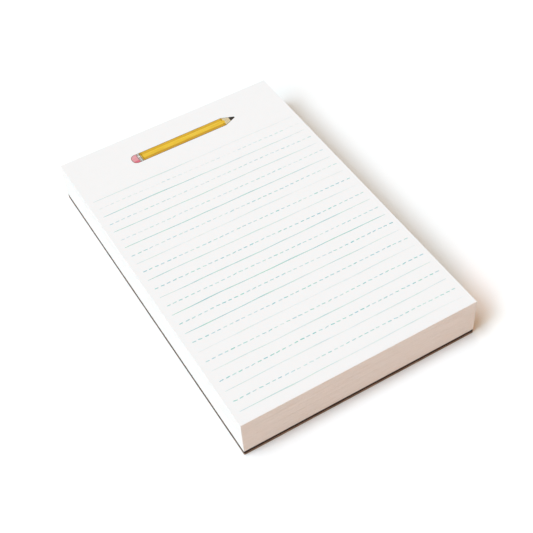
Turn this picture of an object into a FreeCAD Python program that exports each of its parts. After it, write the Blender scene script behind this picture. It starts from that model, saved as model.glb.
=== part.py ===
import FreeCAD, Part
import math
import os

# A ruled writing pad that lies flat: a thick block of trimmed sheets on a stiff backing board,
# held together by a film of padding glue brushed along the head edge. The top sheet is printed
# with solid and dashed writing lines and a small pencil above them.
#
# Frame, in millimetres: the origin is on the table under the middle of the pad's footprint,
# +Z is up, +Y points to the glued head and +X to the reader's right.

# Sheets and board
SHEET_WIDTH = 139.7
SHEET_LENGTH = 215.9
SHEET_COUNT = 200
SHEET_THICKNESS = 0.113
BOARD_THICKNESS = 3.1
BOARD_CORNER_RADIUS = 0.6
BOARD_TOP_BEVEL = 0.3
BOARD_FOOT_BEVEL = 0.15

# Glue film on the head edge
GLUE_THICKNESS = 0.35
GLUE_EDGE_RADIUS = 0.2

# Ink, shown as a skin that stands on the top sheet
INK_THICKNESS = 0.05

# Writing lines: solid rows, each pair with a dashed row half way between
FIRST_ROW_FROM_HEAD = 38.9
ROW_PITCH = 14.15
LAST_ROW_MARGIN = 5.0
ROW_SIDE_MARGIN = 3.7
SOLID_ROW_WIDTH = 0.42
DASHED_ROW_WIDTH = 0.48
DASH_LENGTH = 2.3
DASH_GAP = 1.3

# Printed pencil: it lies along X, with its rubber end to the left
PENCIL_LENGTH = 69.1
PENCIL_WIDTH = 7.0
PENCIL_MIDDLE_FROM_HEAD = 19.9
PENCIL_SHIFT_RIGHT = 2.45
RUBBER_LENGTH = 4.1
RUBBER_FLAT_WIDTH = 1.2
RUBBER_SHADE_WIDTH = 1.9
FERRULE_LENGTH = 1.9
FERRULE_RING_LENGTH = 0.4
FERRULE_RING_GAP = 0.5
SHARPENED_LENGTH = 7.5
LEAD_LENGTH = 3.2
TIP_WIDTH = 0.9
SCALLOP_DEPTH = 1.0
OUTLINE_WIDTH = 0.25

# Places worked out from the sizes above
BLOCK_HEIGHT = SHEET_COUNT * SHEET_THICKNESS
LEFT = -SHEET_WIDTH / 2
FOOT = -(SHEET_LENGTH + GLUE_THICKNESS) / 2
HEAD = FOOT + SHEET_LENGTH
PAGE = BOARD_THICKNESS + BLOCK_HEIGHT
# Two places closer than this are one place.
SAME_PLACE = 1e-6


def point(x, y, z=0.0):
    """A point or a direction."""
    return FreeCAD.Vector(x, y, z)


def box(x, y, z, length, width, height):
    """A block from its lowest corner and its three sizes."""
    return Part.makeBox(length, width, height, point(x, y, z))


def edges_along(shape, direction):
    """The straight edges of a shape that run along a direction."""
    found = []
    for edge in shape.Edges:
        run = edge.lastVertex().Point - edge.firstVertex().Point
        if run.cross(direction).Length < SAME_PLACE:
            found.append(edge)
    return found


def lies_at(low, high, place):
    """Whether a span from low to high is all at one place."""
    return abs(low - place) < SAME_PLACE and abs(high - place) < SAME_PLACE


def edges_at_height(shape, height):
    """The edges of a shape that lie flat at one height."""
    return [edge for edge in shape.Edges if lies_at(edge.BoundBox.ZMin, edge.BoundBox.ZMax, height)]


# Board and sheets


def backing_board():
    """Stiff board, cut with the sheets, its corners and arrises slightly worn round."""
    board = box(LEFT, FOOT, 0, SHEET_WIDTH, SHEET_LENGTH, BOARD_THICKNESS)
    board = board.makeFillet(BOARD_CORNER_RADIUS, edges_along(board, point(0, 0, 1)))
    board = board.makeChamfer(BOARD_TOP_BEVEL, edges_at_height(board, BOARD_THICKNESS))
    return board.makeChamfer(BOARD_FOOT_BEVEL, edges_at_height(board, 0))


def sheet_block():
    """All the sheets, trimmed square as one block."""
    return box(LEFT, FOOT, BOARD_THICKNESS, SHEET_WIDTH, SHEET_LENGTH, BLOCK_HEIGHT)


def padding_glue():
    """Film of glue over the head edge of the sheets and the board, its outer arrises rounded."""
    film = box(LEFT, HEAD, 0, SHEET_WIDTH, GLUE_THICKNESS, PAGE)
    outer_face = HEAD + GLUE_THICKNESS
    outer_edges = [edge for edge in film.Edges if lies_at(edge.BoundBox.YMin, edge.BoundBox.YMax, outer_face)]
    return film.makeFillet(GLUE_EDGE_RADIUS, outer_edges)


# Writing lines


def solid_row_places():
    """The Y of each solid row, from the head down, as many as the sheet has room for."""
    room = SHEET_LENGTH - FIRST_ROW_FROM_HEAD - LAST_ROW_MARGIN
    count = math.floor(room / ROW_PITCH) + 1
    return [HEAD - FIRST_ROW_FROM_HEAD - ROW_PITCH * row for row in range(count)]


def ruled_lines():
    """The solid rows."""
    length = SHEET_WIDTH - 2 * ROW_SIDE_MARGIN
    strips = [
        box(LEFT + ROW_SIDE_MARGIN, y - SOLID_ROW_WIDTH / 2, PAGE, length, SOLID_ROW_WIDTH, INK_THICKNESS)
        for y in solid_row_places()
    ]
    return Part.makeCompound(strips)


def dashed_lines():
    """The dashed rows, each half a pitch below a solid row that has another one under it."""
    room = SHEET_WIDTH - 2 * ROW_SIDE_MARGIN
    pitch = DASH_LENGTH + DASH_GAP
    count = math.floor((room + DASH_GAP) / pitch)
    first = -(count * pitch - DASH_GAP) / 2
    dashes = []
    for y in solid_row_places()[:-1]:
        middle = y - ROW_PITCH / 2
        for dash in range(count):
            x = first + dash * pitch
            y_foot = middle - DASHED_ROW_WIDTH / 2
            dashes.append(box(x, y_foot, PAGE, DASH_LENGTH, DASHED_ROW_WIDTH, INK_THICKNESS))
    return Part.makeCompound(dashes)


# Printed pencil, as fields of colour side by side

PENCIL_START = PENCIL_SHIFT_RIGHT - PENCIL_LENGTH / 2
PENCIL_END = PENCIL_START + PENCIL_LENGTH
PENCIL_Y = HEAD - PENCIL_MIDDLE_FROM_HEAD
PENCIL_TOP = PENCIL_Y + PENCIL_WIDTH / 2
PENCIL_FOOT = PENCIL_Y - PENCIL_WIDTH / 2
RUBBER_END = PENCIL_START + RUBBER_LENGTH
RUBBER_CORNER_RADIUS = (PENCIL_WIDTH - RUBBER_FLAT_WIDTH) / 2
BARREL_START = RUBBER_END + FERRULE_LENGTH
BARREL_END = PENCIL_END - SHARPENED_LENGTH
# A six-sided barrel seen square on shows its middle side across half of its width.
MIDDLE_SIDE_TOP = PENCIL_Y + PENCIL_WIDTH / 4
MIDDLE_SIDE_FOOT = PENCIL_Y - PENCIL_WIDTH / 4
# The cone narrows evenly from the barrel's width to the blunt tip's.
LEAD_START = PENCIL_END - LEAD_LENGTH
TIP_RADIUS = TIP_WIDTH / 2
CONE_LENGTH = SHARPENED_LENGTH - TIP_RADIUS
LEAD_WIDTH = TIP_WIDTH + (PENCIL_WIDTH - TIP_WIDTH) * (LEAD_LENGTH - TIP_RADIUS) / CONE_LENGTH
# Corners of the drawing, as (x, y)
RUBBER_TOP = (PENCIL_START + RUBBER_CORNER_RADIUS, PENCIL_TOP)
RUBBER_FOOT = (PENCIL_START + RUBBER_CORNER_RADIUS, PENCIL_FOOT)
CONE_TOP = (BARREL_END, PENCIL_TOP)
CONE_FOOT = (BARREL_END, PENCIL_FOOT)
LEAD_TOP = (LEAD_START, PENCIL_Y + LEAD_WIDTH / 2)
LEAD_FOOT = (LEAD_START, PENCIL_Y - LEAD_WIDTH / 2)
TIP_TOP = (PENCIL_END - TIP_RADIUS, PENCIL_Y + TIP_RADIUS)
TIP_FOOT = (PENCIL_END - TIP_RADIUS, PENCIL_Y - TIP_RADIUS)


def line(start, end):
    """A straight edge between two (x, y) places on the top sheet."""
    return Part.LineSegment(point(*start, PAGE), point(*end, PAGE)).toShape()


def arc(start, middle, end):
    """A round edge through three (x, y) places on the top sheet."""
    return Part.Arc(point(*start, PAGE), point(*middle, PAGE), point(*end, PAGE)).toShape()


def wire(edges):
    """A closed run of edges, whatever order they come in."""
    return Part.Wire(Part.__sortEdges__(edges))


def ink(edges):
    """A field of ink inside a closed run of edges."""
    return Part.Face(wire(edges)).extrude(point(0, 0, INK_THICKNESS))


def rubber_end_edges():
    """The rounded left end of the rubber, from its foot to its top."""
    radius = RUBBER_CORNER_RADIUS
    inset = radius * (1 - math.sqrt(0.5))
    flat_foot = (PENCIL_START, PENCIL_FOOT + radius)
    flat_top = (PENCIL_START, PENCIL_TOP - radius)
    return [
        arc(RUBBER_FOOT, (PENCIL_START + inset, PENCIL_FOOT + inset), flat_foot),
        line(flat_foot, flat_top),
        arc(flat_top, (PENCIL_START + inset, PENCIL_TOP - inset), RUBBER_TOP),
    ]


def tip_edge():
    """The blunt round tip of the lead, from its foot to its top."""
    return arc(TIP_FOOT, (PENCIL_END, PENCIL_Y), TIP_TOP)


def whole_rubber():
    """The rubber as one field, before its lit and shaded sides are parted."""
    top_right = (RUBBER_END, PENCIL_TOP)
    foot_right = (RUBBER_END, PENCIL_FOOT)
    sides = [line(RUBBER_TOP, top_right), line(top_right, foot_right), line(foot_right, RUBBER_FOOT)]
    return ink(rubber_end_edges() + sides)


def rubber_shade_block():
    """The strip along the rubber's foot that is drawn in shade, as a block to cut with."""
    return box(PENCIL_START, PENCIL_FOOT, PAGE, RUBBER_LENGTH, RUBBER_SHADE_WIDTH, INK_THICKNESS)


def pencil_rubber():
    """Pink rubber, its lit side."""
    return whole_rubber().cut(rubber_shade_block())


def pencil_rubber_shade():
    """Pink rubber, its shaded side."""
    return whole_rubber().common(rubber_shade_block())


def pencil_ferrule_rings():
    """Two rings pressed into the ferrule, even about its middle, drawn as darker bands."""
    middle = (RUBBER_END + BARREL_START) / 2
    left_ring = middle - FERRULE_RING_GAP / 2 - FERRULE_RING_LENGTH
    right_ring = middle + FERRULE_RING_GAP / 2
    rings = [
        box(x, PENCIL_FOOT, PAGE, FERRULE_RING_LENGTH, PENCIL_WIDTH, INK_THICKNESS)
        for x in (left_ring, right_ring)
    ]
    return Part.makeCompound(rings)


def pencil_ferrule():
    """Metal sleeve between the rubber and the barrel, around its pressed rings."""
    sleeve = box(RUBBER_END, PENCIL_FOOT, PAGE, FERRULE_LENGTH, PENCIL_WIDTH, INK_THICKNESS)
    return sleeve.cut(pencil_ferrule_rings())


def scallop(foot, top):
    """The paint's round end on one side of the barrel, deeper on a side that looks wider."""
    depth = SCALLOP_DEPTH * (top - foot) / (MIDDLE_SIDE_TOP - MIDDLE_SIDE_FOOT)
    return arc((BARREL_END, foot), (BARREL_END + depth, (foot + top) / 2), (BARREL_END, top))


def barrel_side(foot, top):
    """One painted side of the barrel, between two heights on the page."""
    return ink(
        [
            line((BARREL_START, foot), (BARREL_END, foot)),
            scallop(foot, top),
            line((BARREL_END, top), (BARREL_START, top)),
            line((BARREL_START, top), (BARREL_START, foot)),
        ]
    )


def pencil_barrel_upper():
    """The painted side turned to the head of the sheet."""
    return barrel_side(MIDDLE_SIDE_TOP, PENCIL_TOP)


def pencil_barrel_middle():
    """The painted side that faces the reader, drawn brightest."""
    return barrel_side(MIDDLE_SIDE_FOOT, MIDDLE_SIDE_TOP)


def pencil_barrel_lower():
    """The painted side turned to the foot of the sheet, drawn darkest."""
    return barrel_side(PENCIL_FOOT, MIDDLE_SIDE_FOOT)


def pencil_wood():
    """Bare wood of the sharpened end, between the scalloped paint and the lead."""
    return ink(
        [
            scallop(PENCIL_FOOT, MIDDLE_SIDE_FOOT),
            scallop(MIDDLE_SIDE_FOOT, MIDDLE_SIDE_TOP),
            scallop(MIDDLE_SIDE_TOP, PENCIL_TOP),
            line(CONE_TOP, LEAD_TOP),
            line(LEAD_TOP, LEAD_FOOT),
            line(LEAD_FOOT, CONE_FOOT),
        ]
    )


def pencil_lead():
    """Dark lead with a blunt tip."""
    return ink([line(LEAD_FOOT, TIP_FOOT), tip_edge(), line(TIP_TOP, LEAD_TOP), line(LEAD_TOP, LEAD_FOOT)])


def pencil_outline():
    """Thin drawn contour round the whole pencil."""
    top_edges = [line(RUBBER_TOP, CONE_TOP), line(CONE_TOP, TIP_TOP)]
    foot_edges = [line(TIP_FOOT, CONE_FOOT), line(CONE_FOOT, RUBBER_FOOT)]
    inner = wire(rubber_end_edges() + top_edges + [tip_edge()] + foot_edges)
    outer = inner.makeOffset2D(OUTLINE_WIDTH)
    ring = Part.Face(outer).cut(Part.Face(inner))
    return ring.extrude(point(0, 0, INK_THICKNESS))


PIECES = {
    "backing_board": backing_board,
    "sheet_block": sheet_block,
    "padding_glue": padding_glue,
    "printed_ruled_lines": ruled_lines,
    "printed_dashed_lines": dashed_lines,
    "printed_pencil_rubber": pencil_rubber,
    "printed_pencil_rubber_shade": pencil_rubber_shade,
    "printed_pencil_ferrule": pencil_ferrule,
    "printed_pencil_ferrule_rings": pencil_ferrule_rings,
    "printed_pencil_barrel_upper": pencil_barrel_upper,
    "printed_pencil_barrel_middle": pencil_barrel_middle,
    "printed_pencil_barrel_lower": pencil_barrel_lower,
    "printed_pencil_wood": pencil_wood,
    "printed_pencil_lead": pencil_lead,
    "printed_pencil_outline": pencil_outline,
}


def main():
    """Writes each piece to parts/, under its own name."""
    os.makedirs("parts", exist_ok=True)
    for name, build in PIECES.items():
        shape = build()
        shape.exportStep(os.path.join("parts", name + ".step"))
        volume = sum(solid.Volume for solid in shape.Solids)
        print(f"{name}: {len(shape.Solids)} solids, {volume:.3f} mm3, valid {shape.isValid()}")


main()
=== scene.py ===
"""A ruled note pad on a white sweep: sheets glued at the head edge, on a chipboard back.

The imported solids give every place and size, and this script dresses them. The sheets get trimmed
edges that show leaf by leaf, the board its pressed and cut fibre, the glue its brushed film, and the
print its hand-inked rows and its pencil.

Lengths in the dataclasses are in millimetres, and meshes are in metres in the solids' own frame: +X to
the reader's right, +Y to the glued head edge, +Z up, with the board's underside at 0.
"""

import logging
import math
from abc import ABC, abstractmethod
from collections.abc import Sequence
from dataclasses import dataclass
from enum import Enum

import bpy
import numpy as np
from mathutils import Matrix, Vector


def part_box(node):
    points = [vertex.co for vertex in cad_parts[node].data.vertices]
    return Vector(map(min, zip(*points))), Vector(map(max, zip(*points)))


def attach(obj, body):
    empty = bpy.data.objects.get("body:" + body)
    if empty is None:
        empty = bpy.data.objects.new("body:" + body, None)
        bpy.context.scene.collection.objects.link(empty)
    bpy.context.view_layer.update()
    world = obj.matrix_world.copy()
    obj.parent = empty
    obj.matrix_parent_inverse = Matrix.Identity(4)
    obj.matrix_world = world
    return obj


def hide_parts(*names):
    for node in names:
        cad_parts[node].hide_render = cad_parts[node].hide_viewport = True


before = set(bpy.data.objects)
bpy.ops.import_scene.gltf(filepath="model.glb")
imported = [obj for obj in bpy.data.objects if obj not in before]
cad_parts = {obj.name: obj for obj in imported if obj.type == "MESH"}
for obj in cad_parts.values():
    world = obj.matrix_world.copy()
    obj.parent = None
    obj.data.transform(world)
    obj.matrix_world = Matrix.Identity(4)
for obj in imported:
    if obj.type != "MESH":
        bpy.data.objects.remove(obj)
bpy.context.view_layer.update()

BODY = "root"
MM = 0.001
# Socket numbers of a Mix node that mixes colours
MIX_FACTOR, MIX_A, MIX_B, MIX_RESULT = 0, 6, 7, 2
INK_ATTRIBUTE = "ink"

log = logging.getLogger("note_pad")

Colour = tuple[float, float, float, float]
Inputs = dict[str | int, object]


def linear(hex_colour: str) -> Colour:
    """Turns an sRGB hex colour to the linear colour that shaders and lights take.

    Args:
        hex_colour: The colour, such as "#EDEDEC".

    Returns:
        Linear red, green and blue, and an alpha of 1.
    """
    channels = [int(hex_colour[i : i + 2], 16) / 255 for i in (1, 3, 5)]
    red, green, blue = (c / 12.92 if c <= 0.04045 else ((c + 0.055) / 1.055) ** 2.4 for c in channels)
    return red, green, blue, 1.0


def per_length(length: float) -> float:
    """Gives the scale of a pattern whose features are so many millimetres apart."""
    return 1 / (length * MM)


def add_node(
    tree: bpy.types.NodeTree,
    kind: str,
    inputs: Inputs | None = None,
    **settings: object,
) -> bpy.types.Node:
    """Adds a shader node.

    Args:
        tree: The material's node tree.
        kind: The node's type.
        inputs: What each input gets, by its name or number: a socket is linked, and a value is set.
        **settings: The node's own settings.

    Returns:
        The new node.
    """
    node = tree.nodes.new(kind)
    for name, value in settings.items():
        setattr(node, name, value)
    for key, value in (inputs or {}).items():
        if isinstance(value, bpy.types.NodeSocket):
            tree.links.new(value, node.inputs[key])
        else:
            node.inputs[key].default_value = value
    return node


def soft_noise(places: np.ndarray, rows: int, seed: int, longest: float, shortest: float) -> np.ndarray:
    """Gives soft random values along a line, a fresh run of them for each row.

    A value is a sum of sines over the place. Their wavelengths step evenly on a log scale from the
    longest to the shortest, a longer wave is higher by the square root of its length, and each phase is
    random but seeded. The sum is scaled to a mean square of 1.

    Args:
        places: Where to sample, in any unit of length.
        rows: How many runs to make.
        seed: The seed of the phases.
        longest: The longest wavelength, in the unit of places.
        shortest: The shortest wavelength, in the unit of places.

    Returns:
        An array of rows by places.
    """
    waves = 7
    lengths = np.geomspace(longest, shortest, waves)
    heights = np.sqrt(lengths)
    heights *= math.sqrt(2 / np.sum(heights**2))
    phases = np.random.default_rng(seed).uniform(0, 2 * math.pi, (rows, waves, 1))
    turns = 2 * math.pi * places[None, None, :] / lengths[None, :, None]
    return np.sum(heights[None, :, None] * np.sin(turns + phases), axis=1)


def grid_quads(numbers: np.ndarray, closed: bool = False) -> np.ndarray:
    """Makes the quads of a grid of vertices.

    Each quad joins a vertex, the next in its row, and the two after them in the next row, in turn.

    Args:
        numbers: The vertex numbers, rows by columns.
        closed: Whether each row's last vertex joins its first.

    Returns:
        The quads, as an array of quads by 4.
    """
    if closed:
        numbers = np.concatenate([numbers, numbers[:, :1]], axis=1)
    corners = [numbers[:-1, :-1], numbers[:-1, 1:], numbers[1:, 1:], numbers[1:, :-1]]
    return np.stack(corners, axis=-1).reshape(-1, 4)


def new_piece(
    name: str,
    vertices: np.ndarray,
    quads: np.ndarray,
    rings: Sequence[np.ndarray] = (),
) -> bpy.types.Object:
    """Makes a mesh object at the origin from whole arrays.

    Args:
        name: The object's name.
        vertices: Places in metres, any shape that ends in 3.
        quads: Faces of four vertex numbers each.
        rings: Faces of many corners, such as a flat cap's ring of vertex numbers.

    Returns:
        The object, linked to the scene.
    """
    corners = np.concatenate([quads.ravel(), *rings]).astype(np.int32)
    totals = np.array([4] * len(quads) + [len(ring) for ring in rings], np.int32)
    points = vertices.reshape(-1, 3).astype(np.float32)
    mesh = bpy.data.meshes.new(name)
    mesh.vertices.add(len(points))
    mesh.vertices.foreach_set("co", points.ravel())
    mesh.loops.add(len(corners))
    mesh.loops.foreach_set("vertex_index", corners)
    mesh.polygons.add(len(totals))
    mesh.polygons.foreach_set("loop_start", np.cumsum(totals, dtype=np.int32) - totals)
    mesh.update(calc_edges=True)
    mesh.validate()
    mesh.shade_flat()
    piece = bpy.data.objects.new(name, mesh)
    bpy.context.scene.collection.objects.link(piece)
    return piece


def seat(piece: bpy.types.Object, slot: str, *nodes: str) -> bpy.types.Object:
    """Rides a piece on the pad and hides the solids that it stands for.

    Args:
        piece: The new piece.
        slot: The record's material slot. It is not used.
        *nodes: The solids that the piece replaces.

    Returns:
        The same piece.
    """
    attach(piece, BODY)
    if nodes:
        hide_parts(*nodes)
    return piece


class Finish(ABC):
    """A finish of the pad or of the studio. Its own nodes feed one shader."""

    name: str

    @abstractmethod
    def surface(self, tree: bpy.types.NodeTree) -> Inputs:
        """Adds the finish's own nodes.

        Args:
            tree: The material's node tree.

        Returns:
            What each input of the shader gets.
        """

    def make(self) -> bpy.types.Material:
        """Builds the material from the finish's own nodes, the shader and the output.

        Returns:
            The material.
        """
        material = bpy.data.materials.new(self.name)
        material.use_nodes = True
        tree = material.node_tree
        tree.nodes.clear()
        shader = add_node(tree, "ShaderNodeBsdfPrincipled", self.surface(tree))
        add_node(tree, "ShaderNodeOutputMaterial", {"Surface": shader.outputs["BSDF"]})
        return material


@dataclass(frozen=True)
class UncoatedPaper(Finish):
    """Wood-free bond paper, lightly calendered: flat white, no gloss, a faint cloudy look-through."""

    name: str = "uncoated_paper"
    colour: str = "#ECEBEC"
    cloud_colour: str = "#E9E9E9"
    cloud_spacing: float = 4.0
    fibre_spacing: float = 0.35
    fibre_height: float = 0.006
    roughness: float = 0.9

    def surface(self, tree: bpy.types.NodeTree) -> Inputs:
        """Adds the cloudy look-through and the fibres that roughen the sheet.

        Args:
            tree: The material's node tree.

        Returns:
            What each input of the shader gets.
        """
        place = add_node(tree, "ShaderNodeTexCoord").outputs["Object"]
        clouds = add_node(
            tree,
            "ShaderNodeTexNoise",
            {"Vector": place, "Scale": per_length(self.cloud_spacing), "Detail": 4.0},
        ).outputs["Fac"]
        # Real fibres are about 0.03 mm wide. They are drawn ten times as coarse, so that they can show.
        fibres = add_node(
            tree,
            "ShaderNodeTexNoise",
            {"Vector": place, "Scale": per_length(self.fibre_spacing), "Detail": 3.0},
        ).outputs["Fac"]
        colour = add_node(
            tree,
            "ShaderNodeMix",
            {MIX_FACTOR: clouds, MIX_A: linear(self.colour), MIX_B: linear(self.cloud_colour)},
            data_type="RGBA",
        ).outputs[MIX_RESULT]
        normal = add_node(
            tree,
            "ShaderNodeBump",
            {"Height": fibres, "Strength": 1.0, "Distance": self.fibre_height * MM},
        ).outputs["Normal"]
        return {
            "Base Color": colour,
            "Roughness": self.roughness,
            "Specular IOR Level": 0.3,
            "Normal": normal,
        }


@dataclass(frozen=True)
class TrimmedEdge(Finish):
    """Bond paper cut as a stack by a guillotine: white, with painted shade in the gaps between its
    leaves, and scored by the blade.
    """

    name: str = "trimmed_paper_edge"
    # The edge's colour is the paper's, darkened by painted shade from the gaps between leaves, and the
    # gap colour is the painted shade of the gaps themselves.
    colour: str = "#DFDFDD"
    leaf_gap_shade_colour: str = "#D1D0CD"
    leaf: float = 0.113
    lift_spacing: float = 1.1
    run: float = 60.0
    score_spacing: float = 0.7
    score_run: float = 30.0
    line_strength: float = 0.25
    relief: float = 0.02
    roughness: float = 0.93

    def surface(self, tree: bpy.types.NodeTree) -> Inputs:
        """Adds the painted shade along the gaps between leaves, and the scores that cross them.

        Args:
            tree: The material's node tree.

        Returns:
            What each input of the shader gets.
        """
        place = add_node(tree, "ShaderNodeTexCoord").outputs["Object"]
        # A single leaf is finer than a pixel, so bands of several leaves carry the lines that show.
        # The blade slides as it sinks, which leaves faint upright scores across the leaves.
        patterns = (
            (self.run, self.lift_spacing, {"Detail": 5.0, "Roughness": 0.65}),
            (self.run, self.leaf, {"Detail": 1.0}),
            (self.score_spacing, self.score_run, {"Detail": 2.0}),
        )
        noises = []
        for level, upright, grain in patterns:
            scale = (per_length(level), per_length(level), per_length(upright))
            stretch = add_node(tree, "ShaderNodeMapping", {"Vector": place, "Scale": scale})
            grain = {"Vector": stretch.outputs["Vector"], "Scale": 1.0, **grain}
            noises.append(add_node(tree, "ShaderNodeTexNoise", grain).outputs["Fac"])
        bands, leaves, scores = noises
        lines = add_node(
            tree, "ShaderNodeMath", {0: bands, 1: leaves}, operation="MULTIPLY"
        ).outputs["Value"]
        shade = add_node(
            tree,
            "ShaderNodeMapRange",
            {
                "Value": lines,
                "From Min": 0.16,
                "From Max": 0.36,
                "To Min": self.line_strength,
                "To Max": 0.0,
            },
        ).outputs["Result"]
        # Painted shade: the lines between leaves are darkened, as the gaps between them lie in shade.
        colour = add_node(
            tree,
            "ShaderNodeMix",
            {MIX_FACTOR: shade, MIX_A: linear(self.colour), MIX_B: linear(self.leaf_gap_shade_colour)},
            data_type="RGBA",
        ).outputs[MIX_RESULT]
        height = add_node(
            tree, "ShaderNodeMath", {0: lines, 1: 0.2, 2: scores}, operation="MULTIPLY_ADD"
        ).outputs["Value"]
        normal = add_node(
            tree, "ShaderNodeBump", {"Height": height, "Strength": 0.3, "Distance": self.relief * MM}
        ).outputs["Normal"]
        return {
            "Base Color": colour,
            "Roughness": self.roughness,
            "Specular IOR Level": 0.25,
            "Normal": normal,
        }


@dataclass(frozen=True)
class Chipboard(Finish):
    """Chipboard of pressed waste paper: a grey-brown core, dull and flecked, with painted shade as a dark
    band along the top of its edge, for the gap under the sheets.
    """

    name: str = "chipboard"
    colour: str = "#8C7766"
    dark_colour: str = "#685647"
    pale_fleck: str = "#AE9A86"
    dark_fleck: str = "#42352B"
    # The dark band on the edge's upper part is painted shade of the gap between the board and the sheets,
    # flecked by the pulp.
    gap_shade_colour: str = "#120501"
    gap_shade_fleck_colour: str = "#2A140A"
    gap_shade_foot: float = 1.5
    gap_shade_blend: float = 0.15
    mottle_spacing: float = 2.5
    fibre_spacing: float = 0.6
    ply_spacing: float = 0.4
    ply_run: float = 9.0
    relief: float = 0.05
    roughness: float = 0.92

    def surface(self, tree: bpy.types.NodeTree) -> Inputs:
        """Adds the pulp's mottle, plies and fibres, which the core and the painted shade share.

        Args:
            tree: The material's node tree.

        Returns:
            What each input of the shader gets.
        """
        place = add_node(tree, "ShaderNodeTexCoord").outputs["Object"]
        mottle = add_node(
            tree,
            "ShaderNodeTexNoise",
            {"Vector": place, "Scale": per_length(self.mottle_spacing), "Detail": 6.0},
        ).outputs["Fac"]
        scale = (per_length(self.ply_run), per_length(self.ply_run), per_length(self.ply_spacing))
        stretch = add_node(tree, "ShaderNodeMapping", {"Vector": place, "Scale": scale})
        plies = add_node(
            tree,
            "ShaderNodeTexNoise",
            {"Vector": stretch.outputs["Vector"], "Scale": 1.0, "Detail": 4.0},
        ).outputs["Fac"]
        # Short bent fibres, some pale and some dark, as waste paper leaves them in the pulp.
        bent = {"Scale": per_length(self.fibre_spacing), "Detail": 3.0, "Distortion": 2.0}
        fibres = add_node(tree, "ShaderNodeTexNoise", {"Vector": place, **bent}).outputs["Fac"]
        tone = add_node(
            tree, "ShaderNodeMath", {0: mottle, 1: plies}, operation="MULTIPLY"
        ).outputs["Value"]
        core = self.core(tree, tone, fibres)
        height = add_node(tree, "ShaderNodeSeparateXYZ", {"Vector": place}).outputs["Z"]
        colour = self.paint_gap_shade(tree, core, fibres, mottle, height)
        relief = add_node(
            tree, "ShaderNodeMath", {0: tone, 1: 0.5, 2: fibres}, operation="MULTIPLY_ADD"
        ).outputs["Value"]
        normal = add_node(
            tree, "ShaderNodeBump", {"Height": relief, "Strength": 0.7, "Distance": self.relief * MM}
        ).outputs["Normal"]
        return {
            "Base Color": colour,
            "Roughness": self.roughness,
            "Specular IOR Level": 0.3,
            "Normal": normal,
        }

    def core(
        self,
        tree: bpy.types.NodeTree,
        tone: bpy.types.NodeSocket,
        fibres: bpy.types.NodeSocket,
    ) -> bpy.types.NodeSocket:
        """Colours the core by its tone, and strews it with pale and dark flecks.

        Args:
            tree: The material's node tree.
            tone: How pale the pulp is.
            fibres: The noise that the flecks are cut from.

        Returns:
            The core's colour.
        """
        depth = add_node(
            tree, "ShaderNodeMapRange", {"Value": tone, "From Min": 0.16, "From Max": 0.34}
        ).outputs["Result"]
        core = add_node(
            tree,
            "ShaderNodeMix",
            {MIX_FACTOR: depth, MIX_A: linear(self.dark_colour), MIX_B: linear(self.colour)},
            data_type="RGBA",
        ).outputs[MIX_RESULT]
        # A fleck's colour, the noise at which it starts to show and is full, and how much it covers.
        flecks = ((self.pale_fleck, 0.6, 0.68, 0.6), (self.dark_fleck, 0.4, 0.33, 0.55))
        for fleck, start, full, cover in flecks:
            share = add_node(
                tree,
                "ShaderNodeMapRange",
                {"Value": fibres, "From Min": start, "From Max": full, "To Max": cover},
            ).outputs["Result"]
            core = add_node(
                tree,
                "ShaderNodeMix",
                {MIX_FACTOR: share, MIX_A: core, MIX_B: linear(fleck)},
                data_type="RGBA",
            ).outputs[MIX_RESULT]
        return core

    def paint_gap_shade(
        self,
        tree: bpy.types.NodeTree,
        core: bpy.types.NodeSocket,
        fibres: bpy.types.NodeSocket,
        mottle: bpy.types.NodeSocket,
        height: bpy.types.NodeSocket,
    ) -> bpy.types.NodeSocket:
        """Paints a dark band of shade over the core, from an uneven height up, for the shade in the gap
        under the sheets.

        Args:
            tree: The material's node tree.
            core: The core's colour.
            fibres: The noise that flecks the painted shade.
            mottle: The noise that shifts the painted shade's foot.
            height: The height over the board's underside, in metres.

        Returns:
            The board's colour.
        """
        # Painted shade: the edge's upper part is darkened, as the sheets above shade it.
        foot, blend = self.gap_shade_foot * MM, self.gap_shade_blend * MM
        uneven = add_node(
            tree, "ShaderNodeMath", {0: mottle, 1: blend, 2: height}, operation="MULTIPLY_ADD"
        ).outputs["Value"]
        in_gap_shade = add_node(
            tree,
            "ShaderNodeMapRange",
            {"Value": uneven, "From Min": foot, "From Max": foot + blend},
        ).outputs["Result"]
        gap_shade_flecks = add_node(
            tree, "ShaderNodeMapRange", {"Value": fibres, "From Min": 0.5, "From Max": 0.7}
        ).outputs["Result"]
        gap_shade = add_node(
            tree,
            "ShaderNodeMix",
            {MIX_FACTOR: gap_shade_flecks, MIX_A: linear(self.gap_shade_colour), MIX_B: linear(self.gap_shade_fleck_colour)},
            data_type="RGBA",
        ).outputs[MIX_RESULT]
        return add_node(
            tree,
            "ShaderNodeMix",
            {MIX_FACTOR: in_gap_shade, MIX_A: core, MIX_B: gap_shade},
            data_type="RGBA",
        ).outputs[MIX_RESULT]


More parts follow.
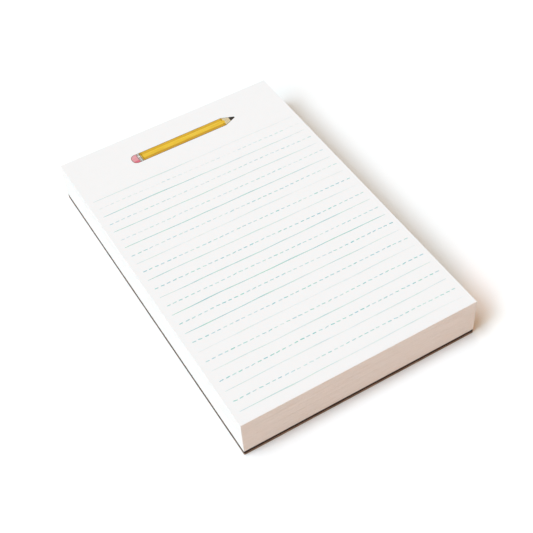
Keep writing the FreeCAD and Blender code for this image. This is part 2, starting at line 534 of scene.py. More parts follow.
@dataclass(frozen=True)
class PaddingCompound(Finish):
    """White padding glue, brushed on and dried: a rubbery satin film with soft dabs and drag."""

    name: str = "padding_compound"
    colour: str = "#EAE9E5"
    thin_colour: str = "#E1DFD9"
    drag_spacing: float = 1.8
    drag_run: float = 40.0
    dab_spacing: float = 7.0
    dab_share: float = 0.3
    relief: float = 0.18
    roughness: float = 0.34
    thin_roughness: float = 0.54

    def surface(self, tree: bpy.types.NodeTree) -> Inputs:
        """Adds the dabs and the drag of the bristles, which thin the film.

        Args:
            tree: The material's node tree.

        Returns:
            What each input of the shader gets.
        """
        place = add_node(tree, "ShaderNodeTexCoord").outputs["Object"]
        across = per_length(self.drag_spacing)
        scale = (per_length(self.drag_run), across, across)
        stretch = add_node(tree, "ShaderNodeMapping", {"Vector": place, "Scale": scale})
        drag = add_node(
            tree,
            "ShaderNodeTexNoise",
            {"Vector": stretch.outputs["Vector"], "Scale": 1.0, "Detail": 2.0, "Distortion": 0.6},
        ).outputs["Fac"]
        dabs = add_node(
            tree,
            "ShaderNodeTexNoise",
            {"Vector": place, "Scale": per_length(self.dab_spacing), "Detail": 2.0, "Distortion": 1.0},
        ).outputs["Fac"]
        # The film is thick in the middle of a dab, and the bristles drag shallow valleys through it.
        body = add_node(
            tree, "ShaderNodeMath", {0: dabs, 1: self.dab_share, 2: drag}, operation="MULTIPLY_ADD"
        ).outputs["Value"]
        thinness = add_node(
            tree, "ShaderNodeMapRange", {"Value": body, "From Min": 0.78, "From Max": 0.48}
        ).outputs["Result"]
        colour = add_node(
            tree,
            "ShaderNodeMix",
            {MIX_FACTOR: thinness, MIX_A: linear(self.colour), MIX_B: linear(self.thin_colour)},
            data_type="RGBA",
        ).outputs[MIX_RESULT]
        gloss = add_node(
            tree,
            "ShaderNodeMapRange",
            {
                "Value": body,
                "From Min": 0.5,
                "From Max": 0.8,
                "To Min": self.thin_roughness,
                "To Max": self.roughness,
            },
        ).outputs["Result"]
        normal = add_node(
            tree, "ShaderNodeBump", {"Height": body, "Strength": 0.8, "Distance": self.relief * MM}
        ).outputs["Normal"]
        return {"Base Color": colour, "Roughness": gloss, "Normal": normal}


@dataclass(frozen=True)
class PrintedInk(Finish):
    """Matte offset ink on bond paper: flat colour that the paper's tooth breaks up, with no gloss."""

    name: str
    colour: str
    tone_colour: str
    paper_colour: str = "#ECEBEC"
    tooth: float = 0.04
    tooth_spacing: float = 0.5
    tone_run: float = 6.0
    tone_spacing: float = 0.9
    roughness: float = 0.85
    fades: bool = False

    def surface(self, tree: bpy.types.NodeTree) -> Inputs:
        """Adds the ink's two tones and the paper that shows through them.

        A fading ink takes its strength from its mesh's own attribute.

        Args:
            tree: The material's node tree.

        Returns:
            What each input of the shader gets.
        """
        place = add_node(tree, "ShaderNodeTexCoord").outputs["Object"]
        across = per_length(self.tone_spacing)
        scale = (per_length(self.tone_run), across, across)
        stretch = add_node(tree, "ShaderNodeMapping", {"Vector": place, "Scale": scale})
        tones = add_node(
            tree,
            "ShaderNodeTexNoise",
            {"Vector": stretch.outputs["Vector"], "Scale": 1.0, "Detail": 3.0},
        ).outputs["Fac"]
        tone = add_node(
            tree, "ShaderNodeMapRange", {"Value": tones, "From Min": 0.35, "From Max": 0.65}
        ).outputs["Result"]
        ink = add_node(
            tree,
            "ShaderNodeMix",
            {MIX_FACTOR: tone, MIX_A: linear(self.colour), MIX_B: linear(self.tone_colour)},
            data_type="RGBA",
        ).outputs[MIX_RESULT]
        grain = add_node(
            tree,
            "ShaderNodeTexNoise",
            {"Vector": place, "Scale": per_length(self.tooth_spacing), "Detail": 2.0},
        ).outputs["Fac"]
        cover = add_node(
            tree,
            "ShaderNodeMapRange",
            {
                "Value": grain,
                "From Min": 0.3,
                "From Max": 0.7,
                "To Min": 1.0,
                "To Max": 1.0 - self.tooth,
            },
        ).outputs["Result"]
        if self.fades:
            strength = add_node(tree, "ShaderNodeAttribute", attribute_name=INK_ATTRIBUTE)
            cover = add_node(
                tree, "ShaderNodeMath", {0: cover, 1: strength.outputs["Fac"]}, operation="MULTIPLY"
            ).outputs["Value"]
        colour = add_node(
            tree,
            "ShaderNodeMix",
            {MIX_FACTOR: cover, MIX_A: linear(self.paper_colour), MIX_B: ink},
            data_type="RGBA",
        ).outputs[MIX_RESULT]
        return {"Base Color": colour, "Roughness": self.roughness, "Specular IOR Level": 0.3}


@dataclass(frozen=True)
class SweepPaper(Finish):
    """A roll of matte white studio paper that runs out under the pad."""

    name: str = "studio_sweep"
    colour: str = "#FBFBFB"
    roughness: float = 0.95

    def surface(self, tree: bpy.types.NodeTree) -> Inputs:
        """Gives the sweep its plain colour, with no nodes of its own."""
        return {
            "Base Color": linear(self.colour),
            "Roughness": self.roughness,
            "Specular IOR Level": 0.2,
        }


@dataclass
class SheetStack:
    """The block of sheets, each with its own trimmed edge."""

    node: str = "sheet_block"
    leaf: float = 0.113
    crevice: float = 0.2
    column_spacing: float = 4.0
    leaf_drift: float = 0.012
    lift_drift: float = 0.025
    deepest: float = 0.09
    lift_leaves: float = 26.0
    usual_depth: float = 0.45
    seed: int = 11

    def insets(self, leaves: int, places: np.ndarray) -> np.ndarray:
        """Works out how far each leaf's edge lies inside the block's face.

        The inset is a middle value plus two drifts. One is a soft noise over the leaves' order, shared
        by neighbours in a lift of paper, and the other is a leaf's own soft noise along its edge. The sum
        is clipped to stay between the face and the deepest inset.

        Args:
            leaves: How many leaves the block has.
            places: Places round the block's edge, in millimetres.

        Returns:
            Insets in millimetres, leaves by places.
        """
        own = soft_noise(places, leaves, self.seed, longest=150.0, shortest=18.0)
        steps = np.random.default_rng(self.seed + 1).normal(0, 1, (leaves, 1))
        order = np.arange(leaves, dtype=float)
        lift = soft_noise(order, 1, self.seed + 2, 3 * self.lift_leaves, self.lift_leaves / 4)
        lift = lift.reshape(leaves, 1)
        inset = self.usual_depth * self.deepest + self.lift_drift * lift + self.leaf_drift * (own + steps)
        return np.clip(inset, 0, self.deepest)

    def edges(self, low: np.ndarray, high: np.ndarray, x: np.ndarray, y: np.ndarray) -> np.ndarray:
        """Places the leaves' edges round the block.

        Each leaf gives two rings, near its lower and its upper face. A ring's vertex is the rectangle's
        point, moved in by its leaf's inset on the three trimmed sides.

        Args:
            low: The block's lowest corner, in metres.
            high: The block's highest corner, in metres.
            x: How far across the block each point of a ring lies, from 0 to 1.
            y: How far along the block each point of a ring lies, from 0 to 1.

        Returns:
            Places in metres, leaves by 2 by points by 3.
        """
        leaves = round((high[2] - low[2]) / (self.leaf * MM))
        thickness = (high[2] - low[2]) / leaves
        bottoms = low[2] + thickness * np.arange(leaves)
        inset = self.insets(leaves, np.arange(len(x)) * self.column_spacing) * MM
        inward_x = np.where(x == 0, 1.0, 0.0) - np.where(x == 1, 1.0, 0.0)
        inward_y = np.where(y == 0, 1.0, 0.0)
        rings = np.empty((leaves, 2, len(x), 3))
        rings[..., 0] = (low[0] + x * (high[0] - low[0]) + inward_x * inset)[:, None, :]
        rings[..., 1] = (low[1] + y * (high[1] - low[1]) + inward_y * inset)[:, None, :]
        rings[:, 0, :, 2] = (bottoms + thickness * self.crevice / 2)[:, None]
        rings[:, 1, :, 2] = (bottoms + thickness * (1 - self.crevice / 2))[:, None]
        rings[0, 0, :, 2] = low[2]
        rings[-1, 1, :, 2] = high[2]
        return rings

    @staticmethod
    def cap(rim: np.ndarray, inside: np.ndarray) -> np.ndarray:
        """Numbers a flat cap's grid, whose outermost vertices are a ring's.

        Args:
            rim: The ring's vertex numbers, anticlockwise from the front left corner.
            inside: The numbers of the vertices inside the rim, rows by columns.

        Returns:
            The cap's vertex numbers, rows by columns.
        """
        along, across = inside.shape[0] + 1, inside.shape[1] + 1
        numbers = np.empty((along + 1, across + 1), int)
        numbers[0, :across] = rim[:across]
        numbers[:along, across] = rim[across : across + along]
        numbers[along, across:0:-1] = rim[across + along : 2 * across + along]
        numbers[along:0:-1, 0] = rim[2 * across + along :]
        numbers[1:along, 1:across] = inside
        return numbers

    def build(self, page: bpy.types.Material, edge: bpy.types.Material) -> bpy.types.Object:
        """Makes the block: the rings of the leaves' edges, closed by a flat grid at either end.

        Args:
            page: The material of the upper and lower faces.
            edge: The material of the trimmed faces.

        Returns:
            The finished piece.
        """
        low, high = (np.array(corner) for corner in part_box(self.node))
        across, along = (round(side / (self.column_spacing * MM)) for side in (high - low)[:2])
        step_x, step_y = np.arange(across) / across, np.arange(along) / along
        x = np.concatenate([step_x, np.ones(along), 1 - step_x, np.zeros(along)])
        y = np.concatenate([np.zeros(across), step_y, np.ones(across), 1 - step_y])
        edges = self.edges(low, high, x, y).reshape(-1, 3)
        rings = np.arange(len(edges)).reshape(-1, len(x))
        grid_x, grid_y = np.meshgrid(
            low[0] + step_x[1:] * (high[0] - low[0]), low[1] + step_y[1:] * (high[1] - low[1])
        )
        flats = [
            np.stack([grid_x, grid_y, np.full_like(grid_x, height)], axis=-1).reshape(-1, 3)
            for height in (high[2], low[2])
        ]
        inside = len(edges) + np.arange(grid_x.size).reshape(grid_x.shape)
        quads = [
            grid_quads(rings, closed=True),
            grid_quads(self.cap(rings[-1], inside)),
            grid_quads(self.cap(rings[0], inside + grid_x.size))[:, ::-1],
        ]
        piece = new_piece("sheets", np.concatenate([edges, *flats]), np.concatenate(quads))
        piece.data.materials.append(page)
        piece.data.materials.append(edge)
        is_edge = np.zeros(len(piece.data.polygons), np.int32)
        is_edge[: len(quads[0])] = 1
        piece.data.polygons.foreach_set("material_index", is_edge)
        return seat(piece, "paper", self.node)


@dataclass
class BackingBoard:
    """The chipboard back, with rounded corners and a cut edge of rough fibre."""

    node: str = "backing_board"
    corner_radius: float = 0.6
    top_round: float = 0.15
    foot_round: float = 0.15
    corner_steps: int = 6
    side_spacing: float = 2.0
    wall_rows: int = 12
    round_rows: int = 6
    fibre: float = 0.025
    seed: int = 21

    def ring(self, low: np.ndarray, high: np.ndarray, inset: float) -> np.ndarray:
        """Makes the board's outline, moved in by an inset.

        The outline is four straight sides joined by quarter circles. A quarter's radius shrinks with the
        inset, down to a fifth of itself, so that every ring has the same number of points.

        Args:
            low: The board's lowest corner, in metres.
            high: The board's highest corner, in metres.
            inset: How far the ring lies inside the outline, in millimetres.

        Returns:
            Places in metres, points by 2, anticlockwise from the front left corner.
        """
        radius = max(self.corner_radius - inset, self.corner_radius / 5) * MM
        size = high[:2] - low[:2] - 2 * inset * MM
        middle = (high[:2] + low[:2]) / 2
        turn = np.linspace(0, math.pi / 2, self.corner_steps + 1)
        points = []
        for quarter in range(4):
            angle = turn + quarter * math.pi / 2 - math.pi
            sign = np.array([[-1, -1], [1, -1], [1, 1], [-1, 1]][quarter])
            corner = middle + sign * (size / 2 - radius)
            arc = corner + radius * np.stack([np.cos(angle), np.sin(angle)], axis=-1)
            length = size[quarter % 2] - 2 * radius
            count = round((high - low)[quarter % 2] / (self.side_spacing * MM))
            share = (np.arange(1, count) / count)[:, None]
            direction = np.array([[1, 0], [0, 1], [-1, 0], [0, -1]][quarter])
            points += [arc, arc[-1] + share * length * direction]
        return np.concatenate(points)

    def build(self, material: bpy.types.Material) -> bpy.types.Object:
        """Makes the board.

        The edge is a profile carried round the outline: a quarter round at the foot, an upright wall and
        a quarter round at the top. The wall's points are moved along the outline's normal by soft noise,
        which stands for torn fibre.

        Args:
            material: The board's material.

        Returns:
            The finished piece.
        """
        low, high = (np.array(corner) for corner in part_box(self.node))
        thickness = (high[2] - low[2]) / MM
        rise = np.linspace(0, math.pi / 2, self.round_rows)
        foot_inset, foot_z = self.foot_round * (1 - np.sin(rise)), self.foot_round * (1 - np.cos(rise))
        wall_z = np.linspace(self.foot_round, thickness - self.top_round, self.wall_rows + 2)[1:-1]
        top_inset = self.top_round * (1 - np.cos(rise))
        top_z = thickness - self.top_round * (1 - np.sin(rise))
        inset = np.concatenate([foot_inset, np.zeros_like(wall_z), top_inset])
        height = np.concatenate([foot_z, wall_z, top_z])
        rings = np.stack([self.ring(low, high, depth) for depth in inset])
        outward = self.ring(low, high, 0) - self.ring(low, high, self.corner_radius / 2)
        outward /= np.linalg.norm(outward, axis=-1, keepdims=True)
        columns = rings.shape[1]
        along = np.arange(columns) * self.side_spacing
        rough = soft_noise(along, len(height), self.seed, longest=40.0, shortest=4.0)
        # The noise is cut off at twice its usual height, and moved inwards so that it stays in the box.
        rough = np.clip(rough, -2, 2) - 2
        rough[[0, -1]] = 0
        places = np.empty((len(height), columns, 3))
        places[..., :2] = rings + outward * (rough * self.fibre * MM / 2)[..., None]
        places[..., 2] = low[2] + height[:, None] * MM
        numbers = np.arange(places.shape[0] * columns).reshape(-1, columns)
        quads = grid_quads(numbers, closed=True)
        piece = new_piece("board", places, quads, [numbers[-1], numbers[0][::-1]])
        piece.data.materials.append(material)
        return seat(piece, "chipboard", self.node)


@dataclass
class GlueFilm:
    """The film of padding glue over the head edge, thicker where the brush left more."""

    node: str = "padding_glue"
    rim: float = 0.3
    streak_height: float = 0.03
    sag_height: float = 0.06
    thinnest: float = 0.4
    spacing: float = 1.0
    rim_steps: int = 6
    seed: int = 31

    def spread(self, length: float) -> np.ndarray:
        """Gives places along one side of the film, close together where its rim curves.

        Args:
            length: The side's length, in millimetres.

        Returns:
            Places from 0 to the length.
        """
        curve = self.rim * (1 - np.cos(np.linspace(0, math.pi / 2, self.rim_steps)))
        middle = np.linspace(self.rim, length - self.rim, round(length / self.spacing))
        return np.concatenate([curve[:-1], middle, length - curve[-2::-1]])

    def build(self, material: bpy.types.Material) -> bpy.types.Object:
        """Makes the film.

        Its outer face is a height over the head face. The height is the film's thickness, less soft noise
        for brush streaks and for slow sags, times a quarter circle over the distance to the nearest rim,
        so that it falls to nothing all round. A flat back closes it.

        Args:
            material: The film's material.

        Returns:
            The finished piece.
        """
        low, high = (np.array(corner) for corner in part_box(self.node))
        width, thickness, tall = (high - low) / MM
        across, up = self.spread(width), self.spread(tall)
        streaks = soft_noise(across, len(up), self.seed, longest=120.0, shortest=12.0)
        streaks *= self.streak_height
        sags = soft_noise(up, len(across), self.seed + 1, longest=30.0, shortest=5.0).T
        sags = sags * self.sag_height / 3
        from_sides, from_ends = np.minimum(across, width - across), np.minimum(up, tall - up)
        distance = np.minimum(from_sides[None, :], from_ends[:, None])
        share = np.clip(distance / self.rim, 0, 1)
        rounding = np.sqrt(1 - (1 - share) ** 2)
        coat = thickness - self.sag_height / 2 + sags + streaks
        film = np.clip(coat, self.thinnest * thickness, thickness) * rounding
        outer = np.empty((len(up), len(across), 3))
        outer[..., 0] = low[0] + across[None, :] * MM
        outer[..., 1] = low[1] + film * MM
        outer[..., 2] = low[2] + up[:, None] * MM
        numbers = np.arange(outer.shape[0] * outer.shape[1]).reshape(outer.shape[:2])
        rim = np.concatenate([numbers[0, :-1], numbers[:-1, -1], numbers[-1, :0:-1], numbers[:0:-1, 0]])
        faces = grid_quads(numbers)[:, ::-1]
        piece = new_piece("glue_film", outer, faces, [rim])
        is_film = np.arange(len(piece.data.polygons)) < len(faces)
        piece.data.polygons.foreach_set("use_smooth", is_film)
        piece.data.materials.append(material)
        return seat(piece, "padding_compound", self.node)


def strokes(
    name: str,
    middles: np.ndarray,
    widths: np.ndarray,
    low: float,
    high: float,
    ink: np.ndarray,
) -> bpy.types.Object:
    """Makes pen strokes as thin closed prisms that lie on the page.

    Each station of a stroke has four corners: its middle, moved half a width to either side of the
    stroke's run, at the lower and the upper height. The run is the difference between neighbours.

    Args:
        name: The piece's name.
        middles: Places of the strokes' middles in metres, strokes by stations by 2.
        widths: Widths in metres, strokes by stations.
        low: The height of the strokes' undersides, in metres.
        high: The height of the strokes' tops, in metres.
        ink: How strongly the ink covers, from 0 to 1, strokes by stations.

    Returns:
        The new piece, with its ink strength as an attribute.
    """
    count, stations = widths.shape
    run = np.gradient(middles, axis=1)
    run /= np.linalg.norm(run, axis=-1, keepdims=True)
    left = np.stack([-run[..., 1], run[..., 0]], axis=-1) * widths[..., None] / 2
    places = np.empty((count, stations, 4, 3))
    places[..., 0, :2] = places[..., 1, :2] = middles - left
    places[..., 2, :2] = places[..., 3, :2] = middles + left
    places[..., [0, 3], 2] = low
    places[..., [1, 2], 2] = high
    numbers = np.arange(count * stations * 4).reshape(count, stations, 4)
    here = numbers[:, :-1]
    ahead = numbers[:, 1:]
    around = [1, 2, 3, 0]
    walls = np.stack([here, ahead, ahead[..., around], here[..., around]], axis=-1).reshape(-1, 4)
    ends = np.concatenate([numbers[:, 0], numbers[:, -1, ::-1]])
    piece = new_piece(name, places, np.concatenate([walls, ends]))
    strength = piece.data.attributes.new(INK_ATTRIBUTE, "FLOAT", "POINT")
    strength.data.foreach_set("value", np.repeat(ink[..., None], 4, axis=-1).ravel().astype(np.float32))
    return piece


def pen_taper(stations: int, blunt: float) -> np.ndarray:
    """Gives a stroke's width along its length, as a share of its full width.

    The share is the fourth root of one minus the fourth power of the distance from the stroke's
    middle, from -1 to 1, and never less than the blunt share.

    Args:
        stations: How many values to give.
        blunt: The share left at the very ends.

    Returns:
        One value for each station.
    """
    reach = np.linspace(-1, 1, stations)
    return np.maximum((1 - reach**4) ** 0.25, blunt)


@dataclass
class WritingRows:
    """The solid and dashed writing rows, drawn with an unsteady pen that runs dry and is dipped again."""

    solid_node: str = "printed_ruled_lines"
    dashed_node: str = "printed_dashed_lines"
    pitch: float = 14.15
    dash_pitch: float = 3.6
    solid_width: float = 0.42
    dashed_width: float = 0.48
    pen_width: float = 0.56
    dash_pen_width: float = 0.6
    dash_length: float = 2.6
    dash_late_start: float = 0.35
    wander: float = 0.16
    dash_wander: float = 0.1
    slant: float = 0.0057
    sink: float = 0.17
    dash_sink: float = 0.45
    station_spacing: float = 1.3
    dash_stations: int = 8
    # Shares of a full width, length or strength
    swell: float = 0.12
    press: float = 0.08
    dash_press: float = 0.1
    faintest: float = 0.15
    dash_faintest: float = 0.12
    blunt_end: float = 0.4
    dash_blunt_end: float = 0.35
    dash_length_range: tuple[float, float] = (0.82, 1.0)
    dash_width_range: tuple[float, float] = (0.75, 1.15)
    seed: int = 41
    dash_seed: int = 51
    # These three seeds were picked so that strong and faint rows follow each other as on the real pad.
    dip_seed: int = 34821
    dry_seed: int = 9600
    dash_dip_seed: int = 38920
    dip_range: tuple[float, float] = (0.17, 1.12)
    dry_range: tuple[float, float] = (-0.2, 0.8)
    dash_dip_range: tuple[float, float] = (0.25, 0.86)

    def row_places(self, low: np.ndarray, high: np.ndarray, width: float) -> np.ndarray:
        """Finds the rows inside a solid's box.

        Args:
            low: The box's lowest corner, in metres.
            high: The box's highest corner, in metres.
            width: A row's width, in millimetres.

        Returns:
            The middle of each row along Y, from the head down, in metres.
        """
        span = high[1] - low[1] - width * MM
        rows = round(span / (self.pitch * MM)) + 1
        return np.linspace(high[1] - width * MM / 2, low[1] + width * MM / 2, rows)

    def solid_rows(self, material: bpy.types.Material) -> bpy.types.Object:
        """Makes the solid rows.

        A row's middle is its straight place plus soft noise along the row, and its width and strength
        have soft noise of their own. Strength starts at the row's own value, and changes evenly from left
        to right by the row's own share.

        Args:
            material: The rows' ink.

        Returns:
            The finished piece.
        """
        low, high = (np.array(corner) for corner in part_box(self.solid_node))
        rows = self.row_places(low, high, self.solid_width)
        stations = round((high[0] - low[0]) / (self.station_spacing * MM))
        x = np.linspace(low[0], high[0], stations)
        wander = soft_noise(x / MM, len(rows), self.seed, longest=240.0, shortest=24.0) * self.wander
        wander = (wander - self.sink) * MM - self.slant * x
        middles = np.stack([np.broadcast_to(x, wander.shape), rows[:, None] + wander], axis=-1)
        swell = soft_noise(x / MM, len(rows), self.seed + 1, longest=60.0, shortest=6.0)
        swell = np.clip(1 + self.swell * swell, 0.7, 1.3)
        widths = self.pen_width * MM * swell * pen_taper(stations, self.blunt_end)
        share = (x - low[0]) / (high[0] - low[0])
        dipped = np.random.default_rng(self.dip_seed).uniform(*self.dip_range, (len(rows), 1))
        dry = np.random.default_rng(self.dry_seed).uniform(*self.dry_range, (len(rows), 1)) * share
        press = soft_noise(x / MM, len(rows), self.seed + 4, longest=90.0, shortest=8.0)
        ink = np.clip(dipped - dry + self.press * press, self.faintest, 1.0)
        piece = strokes("solid_rows", middles, widths, low[2], high[2], ink)
        piece.data.materials.append(material)
        return seat(piece, "ink_teal_line", self.solid_node)

    def dashed_rows(self, material: bpy.types.Material) -> bpy.types.Object:
        """Makes the dashed rows.

        A dash's start and length are its even place plus a small random share, its middle follows its
        row's soft noise, and its strength is its row's own value plus soft noise and a random share.

        Args:
            material: The dashes' ink.

        Returns:
            The finished piece.
        """
        low, high = (np.array(corner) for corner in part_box(self.dashed_node))
        rows = self.row_places(low, high, self.dashed_width)
        count = round((high[0] - low[0]) / (self.dash_pitch * MM))
        random = np.random.default_rng(self.dash_seed)
        shape = (len(rows), count, 1)
        starts = low[0] + self.dash_pitch * MM * np.arange(count)[None, :, None]
        starts = starts + random.uniform(0, self.dash_late_start, shape) * MM
        lengths = self.dash_length * random.uniform(*self.dash_length_range, shape) * MM
        x = starts + lengths * np.linspace(0, 1, self.dash_stations)
        places = starts[0, :, 0] / MM
        wander = soft_noise(places, len(rows), self.dash_seed + 1, longest=240.0, shortest=20.0)
        wander = wander[..., None] * self.wander
        tilt = random.normal(0, self.dash_wander, shape) * np.linspace(-1, 1, self.dash_stations)
        y = rows[:, None, None] + (wander + tilt - self.dash_sink) * MM - self.slant * x
        middles = np.stack([x, y], axis=-1).reshape(-1, self.dash_stations, 2)
        widths = self.dash_pen_width * random.uniform(*self.dash_width_range, shape) * MM
        widths = widths * pen_taper(self.dash_stations, self.dash_blunt_end)
        dips = np.random.default_rng(self.dash_dip_seed)
        dipped = dips.uniform(*self.dash_dip_range, (len(rows), 1, 1))
        press = soft_noise(places, len(rows), self.dash_seed + 2, longest=110.0, shortest=12.0)
        press = self.dash_press * press[..., None] + random.normal(0, self.dash_press, shape)
        ink = np.clip(dipped + press, self.dash_faintest, 1.0) * np.ones(self.dash_stations)
        widths, ink = (values.reshape(-1, self.dash_stations) for values in (widths, ink))
        piece = strokes("dashed_rows", middles, widths, low[2], high[2], ink)
        piece.data.materials.append(material)
        return seat(piece, "ink_teal_dash", self.dashed_node)


class PencilField(Enum):
    """The printed pencil's fields of colour, each with its solid and its ink."""

    RUBBER = ("printed_pencil_rubber", "#D58C94", "#DA98A0")
    RUBBER_SHADE = ("printed_pencil_rubber_shade", "#D76E7E", "#CC6475")
    FERRULE = ("printed_pencil_ferrule", "#D7D4D0", "#C4C2BD")
    FERRULE_RINGS = ("printed_pencil_ferrule_rings", "#8C8A80", "#77756B")
    BARREL_UPPER = ("printed_pencil_barrel_upper", "#CC9F14", "#D7A91E")
    BARREL_MIDDLE = ("printed_pencil_barrel_middle", "#E3BC2C", "#D9AE20")
    BARREL_LOWER = ("printed_pencil_barrel_lower", "#C99914", "#BD8E14")
    WOOD = ("printed_pencil_wood", "#D0C3A3", "#C6B48C")
    LEAD = ("printed_pencil_lead", "#100F0E", "#1A1816")
    OUTLINE = ("printed_pencil_outline", "#3A3010", "#4A3E18")

    def ink(self) -> PrintedInk:
        """Gives the field's ink."""
        node, colour, tone_colour = self.value
        return PrintedInk(node.replace("printed", "ink"), colour, tone_colour)


@dataclass(frozen=True)
class PenLine:
    """One line of the picture's pen work, in millimetres on the page.

    The bow is how far the line's middle lies to the left of the straight way from its start to its end.
    """

    start: tuple[float, float]
    end: tuple[float, float]
    bow: float = 0.0

    def middles(self, stations: int) -> np.ndarray:
        """Gives places along the line: the straight way plus the bow times a half sine.

        Args:
            stations: How many places to give.

        Returns:
            Places in metres, stations by 2.
        """
        share = np.linspace(0, 1, stations)[:, None]
        start, end = np.array(self.start), np.array(self.end)
        run = end - start
        left = np.array([-run[1], run[0]]) / np.linalg.norm(run)
        return (start + share * run + self.bow * np.sin(math.pi * share) * left) * MM


@dataclass(frozen=True)
class PenWork:
    """Lines of one ink that are drawn over a field of the pencil picture."""

    name: str
    slot: str
    colour: str
    ground_colour: str
    width: float
    lines: tuple[PenLine, ...]
    strongest: float = 0.9
    weakest: float = 0.4
    stations: int = 24
    noise_length: float = 12.0
    swell: float = 0.15
    press: float = 0.25
    blunt_end: float = 0.15

    def build(self, low: float, thickness: float) -> bpy.types.Object:
        """Draws the lines.

        A line's width and strength follow soft noise, and its ends taper like a pen's.

        Args:
            low: The height that the lines lie on, in metres.
            thickness: How thick the ink stands, in metres.

        Returns:
            The finished piece.
        """
        middles = np.stack([line.middles(self.stations) for line in self.lines])
        places = np.linspace(0, self.noise_length, self.stations)
        seed = sum(self.name.encode())
        swell = soft_noise(places, len(self.lines), seed, longest=12.0, shortest=2.0)
        swell = np.clip(1 + self.swell * swell, 0.6, 1.4)
        widths = self.width * MM * swell * pen_taper(self.stations, self.blunt_end)
        press = soft_noise(places, len(self.lines), seed + 1, longest=16.0, shortest=3.0)
        press = np.clip(0.5 + self.press * press, 0, 1)
        ink = self.weakest + (self.strongest - self.weakest) * press
        piece = strokes(self.name, middles, widths, low, low + thickness, ink)
        material = PrintedInk(self.name, self.colour, self.colour, self.ground_colour, fades=True)
        piece.data.materials.append(material.make())
        return seat(piece, self.slot)


@dataclass
class PrintedPencil:
    """The pencil picture: its flat fields keep their solids, and pen work is drawn over them."""

    thickness: float = 0.01
    axis: float = 87.875
    seam_half: float = 3.45
    ferrule_start: float = -28.0
    barrel_start: float = -26.1
    barrel_end: float = 29.6

    def pen_work(self) -> list[PenWork]:
        """Lays out the lines over the fields, from the rubber on the left to the lead on the right.

        Returns:
            The pen work, one entry for each ink.
        """
        y, half = self.axis, self.seam_half
        left, right = self.barrel_start, self.barrel_end
        seams = (
            PenLine((self.ferrule_start, y - half), (self.ferrule_start, y + half), 0.25),
            PenLine((left, y - half), (left, y + half), 0.25),
        )
        ridges = (
            PenLine((left + 0.4, y + 1.75), (right, y + 1.8), 0.06),
            PenLine((left + 0.4, y - 1.75), (right, y - 1.7), -0.05),
        )
        shine = (
            PenLine((left + 2.5, y + 0.75), (right - 2.5, y + 0.85), 0.1),
            PenLine((left + 14, y - 0.3), (right - 9, y - 0.25), 0.05),
        )
        ends = (
            PenLine((left + 0.8, y - half), (left + 0.8, y + half), 0.2),
            PenLine((right - 0.6, y + 1.2), (right - 0.3, y + half)),
            PenLine((right - 0.3, y - half), (right - 0.6, y - 1.2)),
        )
        grain = tuple(PenLine((30.9, y + dy), (33.5, y + 0.55 * dy), 0.05) for dy in (1.9, 0.5, -1.1))
        rubber_glint = (PenLine((-31.2, y + 1.2), (-28.8, y + 1.5), 0.2),)
        ferrule_glint = (PenLine((self.ferrule_start + 0.2, y + 0.9), (left - 0.1, y + 0.9)),)
        lead_glint = (PenLine((33.9, y + 0.5), (35.6, y + 0.35)),)
        return [
            PenWork("pen_rubber_glint", "ink_pink", "#E9AEB5", "#D58C94", 0.7, rubber_glint),
            PenWork("pen_ferrule_glint", "ink_silver", "#EFEEEB", "#D7D4D0", 0.9, ferrule_glint),
            PenWork("pen_seams", "ink_olive", "#4A4033", "#9A9088", 0.3, seams, 1.0, 0.6),
            PenWork("pen_barrel_ends", "ink_deep_ochre", "#A07A14", "#CAA31B", 0.9, ends, 0.75, 0.45),
            PenWork("pen_ridges", "ink_deep_ochre", "#9F7B14", "#CAA31B", 0.24, ridges, 0.8, 0.2),
            PenWork("pen_barrel_shine", "ink_yellow", "#EFD162", "#E3BC2C", 0.6, shine, 0.5, 0.1),
            PenWork("pen_wood_grain", "ink_tan", "#A8905F", "#D0C3A3", 0.16, grain, 0.8, 0.4),
            PenWork("pen_lead_glint", "ink_black", "#3C3939", "#141312", 0.3, lead_glint),
        ]

    def build(self) -> list[bpy.types.Object]:
        """Gives every field its ink, and draws the pen work on top.

        Returns:
            The dressed solids and the new pieces.
        """
        dressed = []
        for part in PencilField:
            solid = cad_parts[part.value[0]]
            solid.data.materials.clear()
            solid.data.materials.append(part.ink().make())
            dressed.append(solid)
        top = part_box(PencilField.BARREL_MIDDLE.value[0])[1][2]
        dressed += [work.build(top, self.thickness * MM) for work in self.pen_work()]
        return dressed


@dataclass(frozen=True)
class Softbox:
    """A large studio light, so far off that its light arrives parallel and the page is lit evenly.

    The bearing is measured on the floor, from the reader's right towards the head edge, and the spread
    is the angle that the light fills in the sky, all in degrees. The level is how bright the light alone
    makes a white floor.
    """

    name: str
    bearing: float
    elevation: float
    level: float
    colour: str
    spread: float = 20.0

    def build(self) -> bpy.types.Object:
        """Makes the light.

        Returns:
            The light's object.
        """
        turn, rise = math.radians(self.bearing), math.radians(self.elevation)
        light = bpy.data.lights.new(self.name, "SUN")
        light.energy = math.pi * self.level / math.sin(rise)
        light.angle = math.radians(self.spread)
        light.color = linear(self.colour)[:3]
        flat = math.cos(rise)
        away = Vector((math.cos(turn) * flat, math.sin(turn) * flat, math.sin(rise)))
        lamp = bpy.data.objects.new(self.name, light)
        lamp.location = away
        lamp.rotation_euler = away.to_track_quat("Z", "Y").to_euler()
        bpy.context.scene.collection.objects.link(lamp)
        return lamp


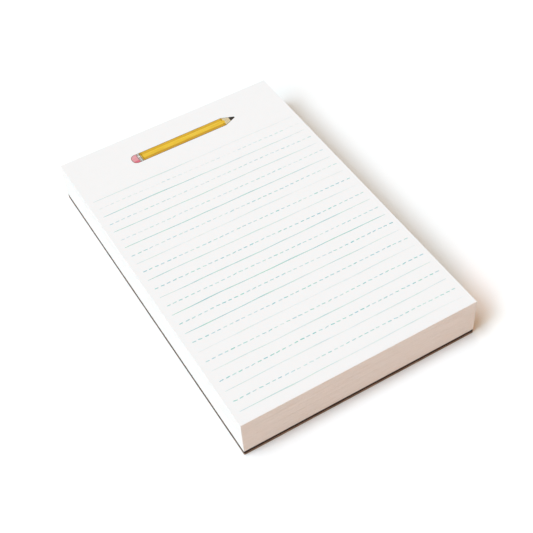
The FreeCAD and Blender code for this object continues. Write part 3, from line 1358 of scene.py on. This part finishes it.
@dataclass
class Studio:
    """The white sweep, the softboxes and the camera.

    The warm ambient light is what the room's walls send back, and the backdrop is what the camera sees
    past the sweep.
    """

    sweep_size: float = 6.0
    lights: tuple[Softbox, ...] = (
        Softbox("key", 180.0, 50.0, 0.468, "#D7EEFF"),
        Softbox("low_key", 200.0, 35.0, 0.170, "#D0F4FF"),
        Softbox("head_key", 150.0, 65.0, 0.290, "#E9F5FF"),
        Softbox("head_side", 80.0, 35.0, 0.120, "#FFEDE1"),
        Softbox("front_glow", 240.0, 20.0, 0.086, "#FF880A"),
    )
    ambient_colour: str = "#FFD9A0"
    ambient_strength: float = 0.252
    backdrop_colour: str = "#FFFFFF"
    camera_place: tuple[float, float, float] = (-182.68, -374.90, 463.51)
    camera_turn: tuple[float, float, float] = (41.474, 3.377, -30.507)
    camera_reach: tuple[float, float] = (0.01, 20.0)
    lens: float = 73.97
    sensor: float = 36.0

    def surroundings(self) -> bpy.types.World:
        """Builds the ambient light, and the plain backdrop that the camera sees past the sweep."""
        world = bpy.data.worlds.new("ambient")
        world.use_nodes = True
        tree = world.node_tree
        tree.nodes.clear()
        ambient = add_node(
            tree,
            "ShaderNodeBackground",
            {"Color": linear(self.ambient_colour), "Strength": self.ambient_strength},
        )
        backdrop = add_node(tree, "ShaderNodeBackground", {"Color": linear(self.backdrop_colour)})
        seen = add_node(tree, "ShaderNodeLightPath").outputs["Is Camera Ray"]
        both = add_node(
            tree,
            "ShaderNodeMixShader",
            {0: seen, 1: ambient.outputs["Background"], 2: backdrop.outputs["Background"]},
        )
        add_node(tree, "ShaderNodeOutputWorld", {"Surface": both.outputs["Shader"]})
        return world

    def build(self) -> None:
        """Makes the sweep, the ambient light, the softboxes and the camera."""
        scene = bpy.context.scene
        scene.view_settings.view_transform = "Standard"
        scene.view_settings.look = "None"
        half = self.sweep_size / 2
        corners = np.array([[-half, -half, 0], [half, -half, 0], [half, half, 0], [-half, half, 0]])
        sweep = new_piece("sweep", corners, np.array([[0, 1, 2, 3]]))
        sweep.data.materials.append(SweepPaper().make())
        scene.world = self.surroundings()
        for light in self.lights:
            light.build()
        camera_data = bpy.data.cameras.new("camera")
        camera_data.sensor_width = self.sensor
        camera_data.lens = self.lens
        camera_data.clip_start, camera_data.clip_end = self.camera_reach
        camera = bpy.data.objects.new("camera", camera_data)
        camera.location = Vector(self.camera_place) * MM
        camera.rotation_euler = [math.radians(angle) for angle in self.camera_turn]
        scene.collection.objects.link(camera)
        scene.camera = camera


def main() -> None:
    """Builds the studio and every piece of the pad, in order."""
    logging.basicConfig(level=logging.INFO, format="%(name)s: %(message)s")
    Studio().build()
    rows = WritingRows()
    teal = PrintedInk("ink_teal_line", "#8EBDC3", "#9CD0BB", tooth=0.15, fades=True)
    teal_dash = PrintedInk("ink_teal_dash", "#7AB4C3", "#8ACCB9", tooth=0.15, fades=True)
    pieces = [
        SheetStack().build(UncoatedPaper().make(), TrimmedEdge().make()),
        BackingBoard().build(Chipboard().make()),
        GlueFilm().build(PaddingCompound().make()),
        rows.solid_rows(teal.make()),
        rows.dashed_rows(teal_dash.make()),
        *PrintedPencil().build(),
    ]
    for piece in pieces:
        log.info("%s: %d faces", piece.name, len(piece.data.polygons))


if __name__ == "__main__":
    main()
